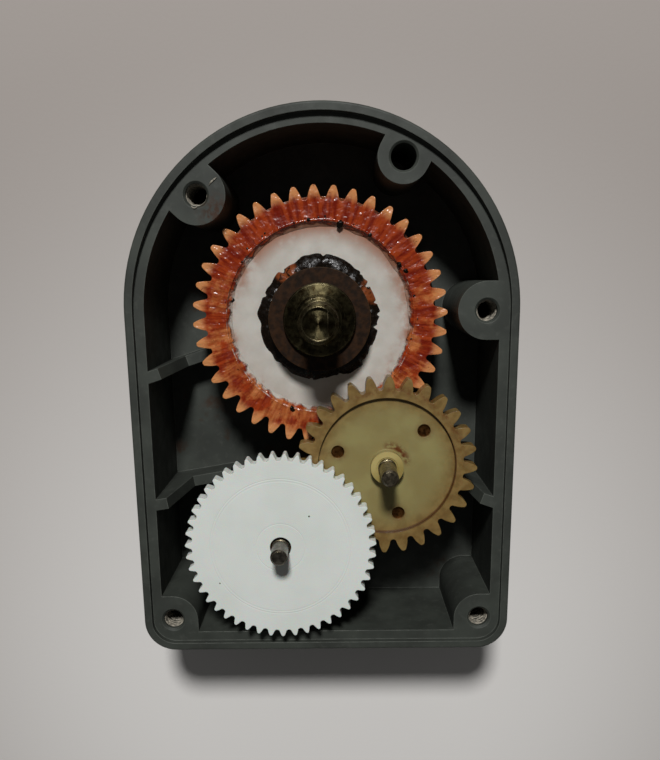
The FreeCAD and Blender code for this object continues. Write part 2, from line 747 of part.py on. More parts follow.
def intermediate_stage():
    at = ("intermediate_x", "intermediate_y")
    phase = math.radians(size("intermediate_phase"))
    wheel = toothed_blank("intermediate_blank", "intermediate_teeth", "tooth_module", FULL_DEPTH,
                          phase, size("intermediate_face"), *at, "intermediate_z")
    hub = cylinder("intermediate_boss", "intermediate_hub_radius",
                   "intermediate_hub_top - intermediate_web_z", *at, "intermediate_web_z")
    recess = ring("intermediate_recess", "intermediate_web_radius", "intermediate_hub_radius",
                  "intermediate_web_recess + overcut", *at, "intermediate_web_z")
    bore = cylinder("intermediate_seat", "axle_bush_radius",
                    "intermediate_web_z - axle_bush_depth - intermediate_z + overcut",
                    *at, "intermediate_z - overcut")
    mouth = cylinder("intermediate_mouth", "mouth_radius", "case_height", *at, "intermediate_z")
    recessed = cut("intermediate_recessed", wheel, recess)
    dimples = [pin_at(f"dimple_{turn}", turn, "case_height", "intermediate_z - overcut")
               for turn in range(3)]
    node(cut("intermediate_wheel", fuse("intermediate_body", recessed, hub), bore, mouth, *dimples),
         "intermediate_gear")

    line = math.radians(size("output_to_intermediate_angle"))
    pinion_phase = mating_phase(math.radians(size("output_phase")), size("output_teeth"),
                                size("intermediate_pinion_teeth"), line)
    height = size("pinion_flange_z") - size("pinion_bottom")
    teeth = toothed_blank("intermediate_pinion_blank", "intermediate_pinion_teeth", "tooth_module",
                          FULL_DEPTH, pinion_phase, height, *at, "pinion_bottom")
    flange = cylinder("pinion_shoulder", "pinion_flange_radius", "pinion_flange", *at, "pinion_flange_z")
    hole = cylinder("pinion_hole", "axle_bush_radius", "case_height", *at, "0")
    sockets = [pin_at(f"pin_socket_{turn}", turn, "pinion_flange + 2 * overcut",
                      "pinion_flange_z - overcut") for turn in range(3)]
    node(cut("intermediate_pinion_solid", fuse("pinion_solid", teeth, flange), hole, *sockets),
         "intermediate_pinion")

    pins = [pin_at(f"drive_pin_{turn}", turn, "intermediate_web_z - dimple_depth - pinion_flange_z",
                   "pinion_flange_z") for turn in range(3)]
    group = doc.addObject("Part::Compound", "drive_pins")
    group.Links = pins
    node(group, "intermediate_drive_pins")
    node(ring("intermediate_sleeve", "axle_bush_radius", "bush_bore",
              "intermediate_web_z - axle_bush_depth - pinion_bottom", *at, "pinion_bottom"),
         "intermediate_bush")
    node(ring("intermediate_washer", "axle_boss_radius", "bush_bore",
              "pinion_bottom - axle_boss_top - end_float", *at, "axle_boss_top + end_float / 2"),
         "intermediate_spacer")


def pin_at(name, turn, height, z):
    """A cylinder at one of the three drive pin places."""
    angle = f"( drive_pin_angle + {120 * turn} ) * 1deg"
    return cylinder(name, "drive_pin_radius", height,
                    f"intermediate_x + drive_pin_circle * cos( {angle} )",
                    f"intermediate_y + drive_pin_circle * sin( {angle} )", z)


# ---------------------------------------------------------------- input stage

def input_stage():
    at = ("input_x", "input_y")
    wheel = toothed_blank("input_blank", "input_teeth", "input_module", STUB_DEPTH,
                          math.radians(size("input_phase")), size("input_face"), *at, "input_z")
    mouth = cylinder("input_mouth", "mouth_radius", "input_face + 2 * overcut", *at, "input_z - overcut")
    socket = box("input_socket", "spigot_width", "spigot_width", "spigot_height + overcut",
                 *at, "input_z - overcut")
    node(cut("input_wheel", wheel, mouth, socket), "input_gear")

    line = math.radians(size("intermediate_to_input_angle"))
    pinion_phase = mating_phase(math.radians(size("intermediate_phase")), size("intermediate_teeth"),
                                size("input_pinion_teeth"), line)
    height = size("input_z") - size("input_pinion_z")
    teeth = toothed_blank("input_pinion_blank", "input_pinion_teeth", "tooth_module", FULL_DEPTH,
                          pinion_phase, height, *at, "input_pinion_z")
    spigot = box("input_spigot", "spigot_width", "spigot_width", "spigot_height", *at, "input_z")
    hole = cylinder("input_pinion_hole", "axle_bush_radius", "case_height", *at, "axle_boss_top")
    node(cut("input_pinion_solid", fuse("input_pinion_body", teeth, spigot), hole), "input_pinion")
    node(ring("input_sleeve", "axle_bush_radius", "bush_bore",
              "input_z + spigot_height - input_pinion_z", *at, "input_pinion_z"), "input_bush")
    node(ring("input_tube", "axle_boss_radius", "bush_bore",
              "input_pinion_z - axle_boss_top - end_float",
              *at, "axle_boss_top + end_float / 2"), "input_spacer")


def check_document():
    """Stops if any object failed, or if a sub-part has no valid solid."""
    failed = [obj.Label for obj in doc.Objects if set(obj.State) & {"Invalid", "Error"}]
    assert not failed, "failed objects: " + ", ".join(failed)
    for obj in NODES:
        shape = obj.Shape
        assert not shape.isNull() and shape.isValid() and shape.Solids, obj.Label + " is not sound"


build_case()
output_bush()
output_shaft()
output_gear()
output_fittings()
axle("intermediate_axle", "intermediate_x", "intermediate_y", "intermediate_hub_top")
axle("input_axle", "input_x", "input_y", "input_top")
intermediate_stage()
input_stage()
doc.recompute()
check_document()
os.makedirs("parts", exist_ok=True)
for obj in NODES:
    obj.Shape.exportStep(f"parts/{obj.Label}.step")
    print(obj.Label, len(obj.Shape.Solids), round(obj.Shape.Volume, 1))
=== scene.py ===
import json
import math
import random

import bmesh
import bpy
from mathutils import Matrix, Vector, noise


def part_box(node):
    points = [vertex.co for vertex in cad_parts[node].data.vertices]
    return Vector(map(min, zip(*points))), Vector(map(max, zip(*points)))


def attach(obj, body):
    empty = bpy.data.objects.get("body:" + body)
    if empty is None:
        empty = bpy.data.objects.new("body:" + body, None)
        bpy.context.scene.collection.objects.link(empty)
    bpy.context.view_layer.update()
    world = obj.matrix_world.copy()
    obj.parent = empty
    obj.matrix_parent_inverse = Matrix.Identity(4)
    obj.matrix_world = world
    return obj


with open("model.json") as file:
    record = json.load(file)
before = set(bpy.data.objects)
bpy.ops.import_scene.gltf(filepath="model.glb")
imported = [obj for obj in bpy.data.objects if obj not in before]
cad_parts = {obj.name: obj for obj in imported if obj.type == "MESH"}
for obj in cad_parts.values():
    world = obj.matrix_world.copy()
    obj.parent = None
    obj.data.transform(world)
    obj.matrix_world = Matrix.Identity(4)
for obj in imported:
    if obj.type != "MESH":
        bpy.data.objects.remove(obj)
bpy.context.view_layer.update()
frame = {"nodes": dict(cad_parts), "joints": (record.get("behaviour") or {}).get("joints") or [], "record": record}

MM = 0.001

# The output gear, in millimetres: the radius of its recessed disc, how far that disc lies below the rim,
# and how far the hub stands above the rim.
OUTPUT_WEB_RADIUS = 30.8
OUTPUT_WEB_RECESS = 1.5
OUTPUT_HUB_RISE = 6.0

# The turning axis of each moving body.
AXES = {joint["child"]: Vector(joint["pos_m"]) for joint in frame["joints"]}


def top_of(name):
    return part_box(name)[1].z


def bottom_of(name):
    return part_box(name)[0].z


def output_rim_z():
    return top_of("output_gear") - OUTPUT_HUB_RISE * MM


def output_web_z():
    return output_rim_z() - OUTPUT_WEB_RECESS * MM


def mount(name):
    return next(entry for entry in frame["record"]["mounts"] if entry["name"] == name)


def tone(red, green, blue):
    """A colour given as it is seen on a screen, 0 to 255, turned into the linear light that shaders use."""
    def linear(value):
        value /= 255
        return value / 12.92 if value <= 0.04045 else ((value + 0.055) / 1.055) ** 2.4
    return (linear(red), linear(green), linear(blue), 1.0)


# ---------------------------------------------------------------- shader steps

class Shader:
    """A procedural material, put together from a few kinds of step. Lengths are in millimetres."""

    def __init__(self, name):
        self.material = bpy.data.materials.new(name)
        self.material.use_nodes = True
        self.tree = self.material.node_tree
        self.surface = self.tree.nodes["Principled BSDF"]
        self.place = self.vector("SCALE", self.add("ShaderNodeTexCoord").outputs["Object"], scale=1 / MM)

    def add(self, kind, **settings):
        step = self.tree.nodes.new(kind)
        for name, value in settings.items():
            setattr(step, name, value)
        return step

    def feed(self, socket, value):
        if isinstance(value, bpy.types.NodeSocket):
            self.tree.links.new(value, socket)
        else:
            socket.default_value = value

    def math(self, operation, *values):
        step = self.add("ShaderNodeMath", operation=operation)
        for socket, value in zip(step.inputs, values):
            self.feed(socket, value)
        return step.outputs[0]

    def vector(self, operation, *values, scale=None):
        step = self.add("ShaderNodeVectorMath", operation=operation)
        for socket, value in zip(step.inputs, values):
            self.feed(socket, value)
        if scale is not None:
            self.feed(step.inputs["Scale"], scale)
        return step.outputs["Value" if operation in ("LENGTH", "DOT_PRODUCT", "DISTANCE") else "Vector"]

    def noise(self, grain, detail=3.0, roughness=0.5, at=None):
        """Soft noise whose features are about grain millimetres across."""
        step = self.add("ShaderNodeTexNoise")
        self.feed(step.inputs["Vector"], at or self.place)
        step.inputs["Scale"].default_value = 1 / grain
        step.inputs["Detail"].default_value = detail
        step.inputs["Roughness"].default_value = roughness
        return step.outputs["Fac"]

    def spread(self, value, low, high, to_low=0.0, to_high=1.0):
        """A value eased from one range to another and held at its ends."""
        step = self.add("ShaderNodeMapRange", interpolation_type="SMOOTHSTEP")
        for name, number in zip(("Value", "From Min", "From Max", "To Min", "To Max"),
                                (value, low, high, to_low, to_high)):
            self.feed(step.inputs[name], number)
        return step.outputs[0]

    def mix(self, amount, first, second):
        step = self.add("ShaderNodeMix", data_type="RGBA")
        self.feed(step.inputs[0], amount)
        self.feed(step.inputs[6], first)
        self.feed(step.inputs[7], second)
        return step.outputs[2]

    def bump(self, height, depth, normal=None):
        """A bump of up to depth millimetres."""
        step = self.add("ShaderNodeBump")
        step.inputs["Distance"].default_value = depth * MM
        self.feed(step.inputs["Height"], height)
        if normal is not None:
            self.feed(step.inputs["Normal"], normal)
        return step.outputs["Normal"]

    def soft_edges(self, radius):
        """The surface normal with each sharp edge rounded over."""
        step = self.add("ShaderNodeBevel", samples=4)
        step.inputs["Radius"].default_value = radius * MM
        return step.outputs["Normal"]

    def edge_wear(self, radius, low=0.02, high=0.18):
        """1 along sharp edges, 0 away from them."""
        plain = self.add("ShaderNodeNewGeometry").outputs["Normal"]
        turned = self.vector("DOT_PRODUCT", self.soft_edges(radius), plain)
        return self.spread(self.math("SUBTRACT", 1.0, turned), low, high)

    def around(self, centre):
        """(distance from an upright axis, place with that axis at its origin)."""
        moved = self.vector("SUBTRACT", self.place, tuple(centre / MM))
        flat = self.vector("MULTIPLY", moved, (1.0, 1.0, 0.0))
        return self.vector("LENGTH", flat), flat

    def streaks(self, centre, across, along):
        """Noise drawn out along the radius: across in degrees wide, along in millimetres long."""
        radius, flat = self.around(centre)
        turn = self.vector("NORMALIZE", flat)
        wide = self.vector("SCALE", turn, scale=1 / math.radians(across))
        upright = self.add("ShaderNodeCombineXYZ")
        self.feed(upright.inputs["Z"], self.math("DIVIDE", radius, along))
        return self.noise(1.0, 3.0, 0.55, self.vector("ADD", wide, upright.outputs[0]))

    def facing(self, centre, degrees):
        """From -1 to 1: how far a place lies to one side of an upright axis."""
        flat = self.around(centre)[1]
        angle = math.radians(degrees)
        return self.vector("DOT_PRODUCT", self.vector("NORMALIZE", flat),
                           (math.cos(angle), math.sin(angle), 0.0))

    def near(self, spot, reach):
        """1 at a spot, easing to 0 at reach millimetres from it."""
        return self.spread(self.vector("DISTANCE", self.place, tuple(spot / MM)), 0.0, reach, 1.0, 0.0)

    def height(self):
        split = self.add("ShaderNodeSeparateXYZ")
        self.feed(split.inputs[0], self.place)
        return split.outputs["Z"]

    def finish(self, colour, roughness, normal, **constants):
        self.feed(self.surface.inputs["Base Color"], colour)
        self.feed(self.surface.inputs["Roughness"], roughness)
        self.feed(self.surface.inputs["Normal"], normal)
        for name, value in constants.items():
            self.surface.inputs[name.replace("_", " ")].default_value = value
        return self.material


def at_angle(centre, radius, degrees, z=0.0):
    """A place around an upright axis, in metres from a radius in millimetres."""
    angle = math.radians(degrees)
    return Vector((centre.x + radius * MM * math.cos(angle), centre.y + radius * MM * math.sin(angle), z))


# ---------------------------------------------------------------- materials of the case

def case_plastic():
    """Dark grey moulded plastic, satin, with dust on level faces and grease near the gears."""
    s = Shader("case_plastic")
    colour = s.mix(s.spread(s.noise(14.0), 0.35, 0.65), tone(52, 55, 50), tone(62, 66, 60))
    dust = s.spread(s.noise(2.4, 6.0, 0.65), 0.52, 0.72, 0.0, 0.3)
    colour = s.mix(dust, colour, tone(84, 86, 80))
    wear = s.math("MULTIPLY", s.edge_wear(0.55), s.spread(s.noise(3.0), 0.3, 0.6, 0.25, 0.9))
    colour = s.mix(wear, colour, tone(100, 103, 96))
    stain_spot = Vector(mount("cover_screw_upper_left")["pos_m"]) + Vector((6.0, -5.5, 0.0)) * MM
    stain_spot.z = top_of("gear_case")
    stain = s.math("MULTIPLY", s.near(stain_spot, 8.5), s.spread(s.noise(1.6, 5.0), 0.38, 0.56))
    low_grease = s.math("MULTIPLY", s.spread(s.height(), 4.4, 5.2, 1.0, 0.0),
                        s.spread(s.noise(9.0, 5.0, 0.6), 0.55, 0.7, 0.0, 0.6))
    greasy = s.math("MAXIMUM", stain, low_grease)
    colour = s.mix(greasy, colour, tone(62, 36, 16))
    roughness = s.spread(s.noise(5.0, 4.0), 0.3, 0.7, 0.52, 0.66)
    roughness = s.math("SUBTRACT", roughness, s.math("MULTIPLY", greasy, 0.25))
    grain = s.bump(s.noise(0.35, 4.0, 0.6), 0.02, s.soft_edges(0.35))
    flow = s.bump(s.noise(7.0, 2.0), 0.05, grain)
    return s.finish(colour, roughness, flow, IOR=1.42)


def screw_thread_plastic():
    """Plastic whitened and torn where a screw has cut its thread."""
    s = Shader("screw_thread_plastic")
    colour = s.mix(s.spread(s.noise(0.8, 5.0, 0.7), 0.35, 0.65), tone(92, 88, 78), tone(172, 164, 148))
    return s.finish(colour, s.spread(s.noise(0.6), 0.3, 0.7, 0.5, 0.8), s.bump(s.noise(0.3, 5.0), 0.08))


# ---------------------------------------------------------------- materials of the gears

def stained_nylon(name, clean_radius):
    """White nylon, soaked orange-brown by old grease beyond clean_radius (mm) from the output axis."""
    s = Shader(name)
    centre = AXES["output"]
    radius = s.around(centre)[0]
    streak = s.streaks(centre, 2.6, 9.0)
    blotch = s.noise(7.0, 4.0, 0.6)
    upper = s.facing(centre, 75.0)

    white = s.mix(s.spread(s.noise(6.0, 3.0), 0.3, 0.7), tone(190, 184, 174), tone(203, 198, 189))
    film_reach = s.math("ADD", s.math("MULTIPLY", upper, 0.2), blotch)
    film = s.math("MULTIPLY", s.spread(radius, 23.0, 30.5), s.spread(film_reach, 0.4, 0.68, 0.12, 0.9))
    disc = s.mix(film, white, tone(150, 86, 48))

    red = s.mix(s.spread(streak, 0.36, 0.64), tone(116, 26, 6), tone(160, 60, 20))
    pale = s.mix(s.spread(streak, 0.35, 0.65), tone(158, 74, 32), tone(196, 118, 66))
    washed = s.spread(s.math("SUBTRACT", blotch, s.math("MULTIPLY", upper, 0.12)), 0.5, 0.66)
    rim = s.mix(washed, red, pale)
    tips = s.spread(s.math("ADD", radius, s.math("MULTIPLY", streak, 2.4)), 38.4, 41.6, 0.0, 0.9)
    rim = s.mix(tips, rim, tone(214, 146, 92))

    wobble = s.math("MULTIPLY", s.math("SUBTRACT", s.noise(2.6, 4.0), 0.5), 3.4)
    on_rim = s.spread(s.math("ADD", radius, wobble), clean_radius - 0.5, clean_radius + 0.5)
    colour = s.mix(on_rim, disc, rim)
    low = s.spread(s.height(), bottom_of("output_gear") / MM, 32.0, 0.9, 0.0)
    colour = s.mix(low, colour, tone(92, 34, 12))
    dark = s.math("MULTIPLY", s.spread(s.noise(1.4, 5.0, 0.7), 0.62, 0.7, 0.0, 0.85), on_rim)
    colour = s.mix(dark, colour, tone(64, 16, 6))

    wet = s.spread(s.noise(3.0, 3.0), 0.35, 0.65, 0.1, 0.34)
    dry = s.spread(s.noise(2.0, 4.0), 0.3, 0.7, 0.36, 0.5)
    rough = s.mix(on_rim, dry, wet)
    lumps = s.math("MULTIPLY", s.noise(2.6, 2.0, 0.5), on_rim)
    lines = s.math("MULTIPLY", streak, s.spread(on_rim, 0.0, 1.0, 0.06, 1.0))
    normal = s.bump(lumps, 0.6, s.bump(lines, 0.25, s.soft_edges(0.3)))
    return s.finish(colour, rough, normal, Coat_Weight=0.2, Coat_Roughness=0.1, Subsurface_Weight=0.1,
                    Subsurface_Scale=0.0015)


def aged_nylon():
    """The intermediate gear: nylon gone yellow, browner at its teeth, its hub and its three dimples, with painted
    light and shade across its hub.
    """
    s = Shader("aged_nylon")
    centre = AXES["intermediate"]
    radius = s.around(centre)[0]
    web = s.mix(s.spread(s.noise(12.0, 3.0), 0.35, 0.65), tone(140, 127, 80), tone(150, 140, 90))
    teeth = s.mix(s.spread(s.noise(3.0, 4.0), 0.35, 0.65), tone(116, 91, 48), tone(136, 111, 64))
    colour = s.mix(s.spread(radius, 16.0, 24.0), web, teeth)
    # Painted light and shade: the hub is painted lighter towards its upper left and darker towards its right, as a
    # raised hub lit from above looks.
    hub = s.mix(s.spread(s.facing(centre, 120.0), -0.8, 0.8), tone(150, 132, 72), tone(186, 169, 108))
    colour = s.mix(s.spread(radius, 5.7, 5.2), colour, hub)
    edge_line = s.math("MULTIPLY", s.spread(radius, 22.5, 22.9), s.spread(radius, 23.4, 23.05))
    edge_strength = s.spread(s.facing(centre, -50.0), -0.4, 0.8, 0.0, 0.85)
    colour = s.mix(s.math("MULTIPLY", edge_line, edge_strength), colour, tone(80, 46, 14))
    worked = s.spread(s.facing(centre, 62.0), 0.1, 0.9)
    gaps = s.spread(s.math("ADD", radius, s.math("MULTIPLY", s.noise(1.6, 4.0), 3.0)), 29.4, 25.6)
    rim_grease = s.math("MULTIPLY", s.math("MULTIPLY", gaps, s.spread(radius, 23.6, 26.0)),
                        s.spread(s.noise(2.0, 5.0, 0.7), 0.42, 0.62))
    grease = s.math("MULTIPLY", rim_grease, s.spread(worked, 0.0, 1.0, 0.25, 1.0))
    bend = s.math("MULTIPLY", s.spread(radius, 5.4, 6.4), s.spread(radius, 9.0, 6.6))
    hub_stain = s.math("MULTIPLY", s.math("MULTIPLY", bend, s.spread(s.facing(centre, 50.0), 0.55, 0.9)),
                       s.spread(s.noise(1.5, 4.0), 0.35, 0.55))
    marks = s.math("MAXIMUM", grease, hub_stain)
    rubbed = s.spread(s.noise(1.2, 4.0), 0.3, 0.55, 0.5, 1.0)
    for dimple in dimple_places():
        marks = s.math("MAXIMUM", marks, s.math("MULTIPLY", s.near(dimple, 4.6), rubbed))
    colour = s.mix(marks, colour, tone(96, 50, 18))
    roughness = s.spread(s.noise(2.5, 4.0), 0.3, 0.7, 0.3, 0.44)
    normal = s.bump(s.noise(0.9, 4.0), 0.02, s.soft_edges(0.25))
    return s.finish(colour, roughness, normal, Subsurface_Weight=0.1, Subsurface_Scale=0.0012)


def dimple_places():
    """The centres of the three dimples in the intermediate gear's web, read from the drive pins' solid."""
    top = top_of("intermediate_drive_pins")
    groups = []
    for vertex in frame["nodes"]["intermediate_drive_pins"].data.vertices:
        if vertex.co.z < top - 0.1 * MM:
            continue
        near_by = [group for group in groups if (vertex.co - group[0]).length <= 8 * MM]
        if near_by:
            near_by[0].append(vertex.co.copy())
        else:
            groups.append([vertex.co.copy()])
    return [sum(group, Vector()) / len(group) for group in groups]


def white_acetal():
    """The input gear: clean white acetal with the lathe's rings on its face."""
    s = Shader("white_acetal")
    centre = AXES["input"]
    radius = s.around(centre)[0]
    colour = s.mix(s.spread(s.noise(16.0, 2.0), 0.3, 0.7), tone(226, 231, 224), tone(232, 236, 230))
    specks = s.near(at_angle(centre, 14.4, 48.0, top_of("input_gear")), 0.55)
    specks = s.math("MAXIMUM", specks, s.near(at_angle(centre, 24.2, -149.0, top_of("input_gear")), 0.45))
    colour = s.mix(s.spread(specks, 0.3, 0.6), colour, tone(60, 52, 40))
    rings = s.math("SINE", s.math("MULTIPLY", radius, math.tau / 0.55))
    normal = s.bump(rings, 0.004, s.bump(s.noise(0.6, 4.0), 0.008, s.soft_edges(0.3)))
    for mark in (8.2, 22.7, 23.5):
        groove = s.spread(s.math("ABSOLUTE", s.math("SUBTRACT", radius, mark)), 0.0, 0.35)
        normal = s.bump(groove, 0.04, normal)
    roughness = s.spread(s.noise(4.0, 4.0), 0.3, 0.7, 0.34, 0.44)
    return s.finish(colour, roughness, normal, Subsurface_Weight=0.12, Subsurface_Scale=0.0015)


# ---------------------------------------------------------------- materials of the metal pieces

def oily_steel(name, centre, dark, light, film, drawn_out):
    """Turned steel under a film of old oil: fine rings that draw the light out, streaks and brown patches."""
    s = Shader(name)
    radius = s.around(centre)[0]
    colour = s.mix(s.spread(s.noise(2.5, 5.0, 0.6), 0.35, 0.65), dark, light)
    brown = s.spread(s.noise(1.8, 5.0, 0.65), 0.45, 0.68, 0.0, film)
    colour = s.mix(brown, colour, tone(40, 27, 12))
    colour = s.mix(s.math("MULTIPLY", s.edge_wear(0.25), 0.7), colour, tone(196, 182, 144))
    stretched = s.vector("MULTIPLY", s.place, (1.0, 1.0, 0.12))
    lines = s.noise(0.35, 3.0, 0.6, stretched)
    rings = s.math("SINE", s.math("MULTIPLY", radius, math.tau / 0.3))
    normal = s.bump(rings, 0.008, s.bump(lines, 0.03, s.soft_edges(0.2)))
    roughness = s.spread(s.noise(1.2, 4.0), 0.3, 0.7, 0.26, 0.44)
    around = s.add("ShaderNodeTangent", direction_type="RADIAL", axis="Z")
    s.feed(s.surface.inputs["Tangent"], around.outputs["Tangent"])
    return s.finish(colour, roughness, normal, Metallic=1.0, Anisotropic=drawn_out,
                    Anisotropic_Rotation=0.25)


def bronze():
    s = Shader("sintered_bronze")
    colour = s.mix(s.spread(s.noise(1.5, 5.0), 0.35, 0.65), tone(128, 92, 48), tone(164, 124, 72))
    colour = s.mix(s.spread(s.noise(4.0), 0.5, 0.7, 0.0, 0.5), colour, tone(70, 44, 20))
    return s.finish(colour, s.spread(s.noise(0.8), 0.3, 0.7, 0.35, 0.55), s.bump(s.noise(0.25, 4.0), 0.02),
                    Metallic=1.0)


def grease_soaked_disc():
    s = Shader("grease_soaked_disc")
    colour = s.mix(s.spread(s.noise(2.0, 5.0, 0.6), 0.35, 0.65), tone(26, 14, 4), tone(50, 29, 11))
    colour = s.mix(s.math("MULTIPLY", s.edge_wear(0.3), 0.6), colour, tone(104, 78, 46))
    normal = s.bump(s.noise(0.7, 5.0), 0.04, s.soft_edges(0.25))
    return s.finish(colour, s.spread(s.noise(1.5), 0.3, 0.7, 0.46, 0.62), normal, IOR=1.25)


def black_grease():
    """Old grease: nearly black where it is thick, amber in the two places where it thins out."""
    s = Shader("black_grease")
    centre = AXES["output"]
    thin = s.math("MAXIMUM", s.near(at_angle(centre, 18.6, 126.0, output_web_z()), 6.0),
                  s.near(at_angle(centre, 19.6, 27.0, output_web_z()), 7.0))
    thin = s.math("MULTIPLY", s.spread(thin, 0.15, 0.5), s.spread(s.noise(1.8, 4.0), 0.36, 0.5))
    colour = s.mix(thin, tone(16, 10, 5), tone(122, 62, 30))
    colour = s.mix(s.spread(s.noise(0.7, 5.0), 0.55, 0.7, 0.0, 0.6), colour, tone(36, 21, 12))
    normal = s.bump(s.noise(0.4, 4.0, 0.6), 0.06)
    return s.finish(colour, s.spread(s.noise(1.1), 0.3, 0.7, 0.16, 0.42), normal, IOR=1.33)


# ---------------------------------------------------------------- pieces in mesh code

def add_piece(name, vertices, faces, material, body, slot):
    mesh = bpy.data.meshes.new(name)
    mesh.from_pydata([tuple(v) for v in vertices], [], faces)
    mesh.validate()
    mesh.materials.append(material)
    mesh.shade_smooth()
    piece = bpy.data.objects.new(name, mesh)
    bpy.context.scene.collection.objects.link(piece)
    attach(piece, body)
    return piece


def closed_sweep(sections):
    """(vertices, faces) of a ring-shaped skin through closed sections that each have as many points."""
    count = len(sections[0])
    vertices = [point for section in sections for point in section]
    faces = []
    for i in range(len(sections)):
        here, after = i * count, (i + 1) % len(sections) * count
        for j in range(count):
            k = (j + 1) % count
            faces.append((here + j, here + k, after + k, after + j))
    return vertices, faces


def capped_sweep(sections):
    """(vertices, faces) of a tube through closed sections, with a face on each end."""
    count = len(sections[0])
    vertices = [point for section in sections for point in section]
    faces = [tuple(range(count)), tuple(reversed(range(len(vertices) - count, len(vertices))))]
    for i in range(len(sections) - 1):
        here, after = i * count, (i + 1) * count
        for j in range(count):
            k = (j + 1) % count
            faces.append((here + k, here + j, after + j, after + k))
    return vertices, faces


def uneven_ring(name, profile, material, body, slot):
    """A closed ring around a body's axis. profile(turn) gives its section: pairs of radius (mm) and z (m)."""
    steps = 360
    sections = []
    for i in range(steps):
        degrees = 360.0 * i / steps
        turn = Vector((math.cos(math.radians(degrees)), math.sin(math.radians(degrees)), 0.0))
        sections.append([at_angle(AXES[body], radius, degrees, z) for radius, z in profile(turn)])
    return add_piece(name, *closed_sweep(sections), material, body, slot)


def grease_ring(material):
    """The uneven collar of old grease that has been squeezed out around the output gear's hub."""
    web_z = output_web_z()
    hub_radius, reach, points = 14.9, 5.2, 16

    def profile(turn):
        notch = max(0.0, noise.noise(turn * 9.0 + Vector((2.0, 0.0, 0.0))) - 0.18)
        waves = 1.4 * noise.noise(turn * 1.7) + 0.7 * noise.noise(turn * 6.0)
        outer = hub_radius + reach + waves - 3.0 * notch
        pile = 1.7 + 0.9 * noise.noise(turn * 3.1 + Vector((5.0, 0.0, 0.0)))
        section = [(hub_radius, web_z - 0.1 * MM)]
        for j in range(points + 1):
            share = j / points
            radius = hub_radius + (outer - hub_radius) * share
            bumps = 0.25 * noise.noise(turn * radius * 0.4) + 0.14 * noise.noise(turn * radius * 1.3)
            height = max(pile * (1.0 - share ** 3) + bumps * (1.0 - share ** 4), 0.02)
            section.append((radius, web_z + height * MM))
        section.append((outer, web_z - 0.1 * MM))
        return section
    return uneven_ring("grease_ring", profile, material, "output", "brown_disc")


def rim_film(material):
    """Grease that fills the corner between the output gear's disc and its rim."""
    rim_z = output_rim_z()
    web_z = output_web_z()
    step = OUTPUT_WEB_RADIUS

    def profile(turn):
        inner = step - 1.7 + 0.8 * noise.noise(turn * 3.0) + 0.3 * noise.noise(turn * 9.0)
        outer = step + 1.0 + 0.5 * noise.noise(turn * 5.0)
        return [
            (inner, web_z - 0.08 * MM),
            (inner + 0.1, web_z + 0.1 * MM),
            ((inner + step) / 2, web_z + 0.5 * MM),
            (step - 0.1, rim_z - 0.35 * MM),
            (step + 0.3, rim_z + 0.05 * MM),
            (outer, rim_z - 0.02 * MM),
            (outer, rim_z - 0.08 * MM),
            (step + 0.1, web_z - 0.08 * MM),
        ]
    return uneven_ring("rim_film", profile, material, "output", "stained_nylon")


def mouth_grease(material):
    """Amber grease between the intermediate gear's hub and its axle."""
    hub_z = top_of("intermediate_gear")

    def profile(turn):
        height = hub_z - (0.25 - 0.15 * noise.noise(turn * 2.0)) * MM
        return [(3.0, height - 1.0 * MM), (3.0, height - 0.1 * MM), (3.25, height), (3.6, height + 0.05 * MM),
                (3.6, height - 1.0 * MM)]
    return uneven_ring("mouth_grease", profile, material, "intermediate", "aged_nylon")


# The large lumps of dried grease on the output gear: angle, radius in mm, size in mm.
LARGE_CRUMBS = (
    (77.0, 30.6, 1.25),
    (33.0, 30.9, 0.95),
    (28.0, 31.8, 0.85),
    (168.0, 29.6, 0.8),
    (-108.0, 31.6, 1.0),
    (96.0, 31.4, 0.7),
    (58.0, 31.0, 0.75),
)


def lump(centre, size, seed):
    """(vertices, faces) of one flattened, uneven lump."""
    ball = bmesh.new()
    bmesh.ops.create_icosphere(ball, subdivisions=3, radius=1.0)
    shift = Vector((seed * 3.7, seed * 1.3, seed * 2.1))
    vertices = []
    for v in ball.verts:
        swell = 1.0 + 0.45 * noise.noise(v.co * 1.6 + shift)
        spot = Vector((v.co.x, v.co.y * 0.8, v.co.z * 0.55)) * swell * size * MM
        spot.rotate(Matrix.Rotation(seed, 3, "Z"))
        vertices.append(centre + spot)
    faces = [tuple(v.index for v in face.verts) for face in ball.faces]
    ball.free()
    return vertices, faces


def joined(parts):
    vertices, faces = [], []
    for more_vertices, more_faces in parts:
        first = len(vertices)
        vertices += more_vertices
        faces += [tuple(first + i for i in face) for face in more_faces]
    return vertices, faces


def grease_crumbs(material):
    """Lumps of dried grease along the edge of the output gear's disc: a few large ones and many small."""
    centre = AXES["output"]

    def resting_place(degrees, radius, overlap):
        z = output_web_z() if radius < OUTPUT_WEB_RADIUS - overlap else output_rim_z()
        return at_angle(centre, radius, degrees, z)

    lumps = []
    for number, (degrees, radius, size) in enumerate(LARGE_CRUMBS):
        lumps.append(lump(resting_place(degrees, radius, 0.5 * size), size, number + 1.0))
    rng = random.Random(11)
    for number in range(46):
        degrees = rng.gauss(75.0, 62.0)
        radius = rng.uniform(29.4, 32.4)
        lumps.append(lump(resting_place(degrees, radius, 0.0), rng.uniform(0.14, 0.42), number * 0.7))
    return add_piece("grease_crumbs", *joined(lumps), material, "output", "brown_disc")


